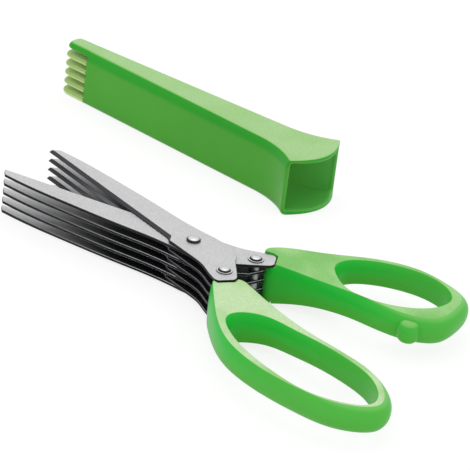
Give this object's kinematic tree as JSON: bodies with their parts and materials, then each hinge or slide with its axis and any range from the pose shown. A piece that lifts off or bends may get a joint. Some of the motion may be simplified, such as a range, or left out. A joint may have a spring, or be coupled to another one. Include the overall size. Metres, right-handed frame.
{
  "type": "herb scissors",
  "caption": "Herb scissors with a stack of paired blades on one pivot rivet, two plastic bow handles, and a flared blade cover with a cleaning comb at its narrow end.",
  "frame": {"origin": "on the pivot axis, in the flat foot of the pivot rivet that stands on the table", "axes": "+X from the pivot to the handles, along the middle line between the two halves, tips at -X; +Z along the pivot axis, up from the table"},
  "size_m": [0.2594, 0.1523, 0.0232],
  "materials": {
    "handle_plastic": "satin green, fine moulded grain",
    "cover_plastic": "semi-gloss green, slightly see-through when thin",
    "blade_steel": "brushed stainless steel",
    "rivet_steel": "polished steel",
    "spacer_steel": "turned steel"
  },
  "bodies": {
    "finger_half": {"finger_handle": "handle_plastic", "finger_blade_1": "blade_steel", "finger_blade_2": "blade_steel", "finger_blade_3": "blade_steel", "finger_blade_4": "blade_steel", "finger_blade_5": "blade_steel", "finger_rivet": "rivet_steel", "finger_spacer_1": "spacer_steel", "finger_spacer_2": "spacer_steel", "finger_spacer_3": "spacer_steel", "finger_spacer_4": "spacer_steel", "pivot_rivet": "rivet_steel", "pivot_spacer_1": "spacer_steel", "pivot_spacer_2": "spacer_steel", "pivot_spacer_3": "spacer_steel", "pivot_spacer_4": "spacer_steel"},
    "thumb_half": {"thumb_handle": "handle_plastic", "thumb_blade_1": "blade_steel", "thumb_blade_2": "blade_steel", "thumb_blade_3": "blade_steel", "thumb_blade_4": "blade_steel", "thumb_blade_5": "blade_steel", "thumb_rivet": "rivet_steel", "thumb_spacer_1": "spacer_steel", "thumb_spacer_2": "spacer_steel", "thumb_spacer_3": "spacer_steel", "thumb_spacer_4": "spacer_steel"},
    "cover": {"blade_cover": "cover_plastic"}
  },
  "joints": [
    {"name": "pivot_hinge", "type": "hinge", "parent": "finger_half", "child": "thumb_half", "pos_m": [0, 0, 0], "axis": [0, 0, 1], "range_deg": [-18.5, 42]},
    {"name": "cover_slide", "type": "slide", "parent": "finger_half", "child": "cover", "axis": [-1, 0, 0], "range_m": [0, 0.1]}
  ]
}
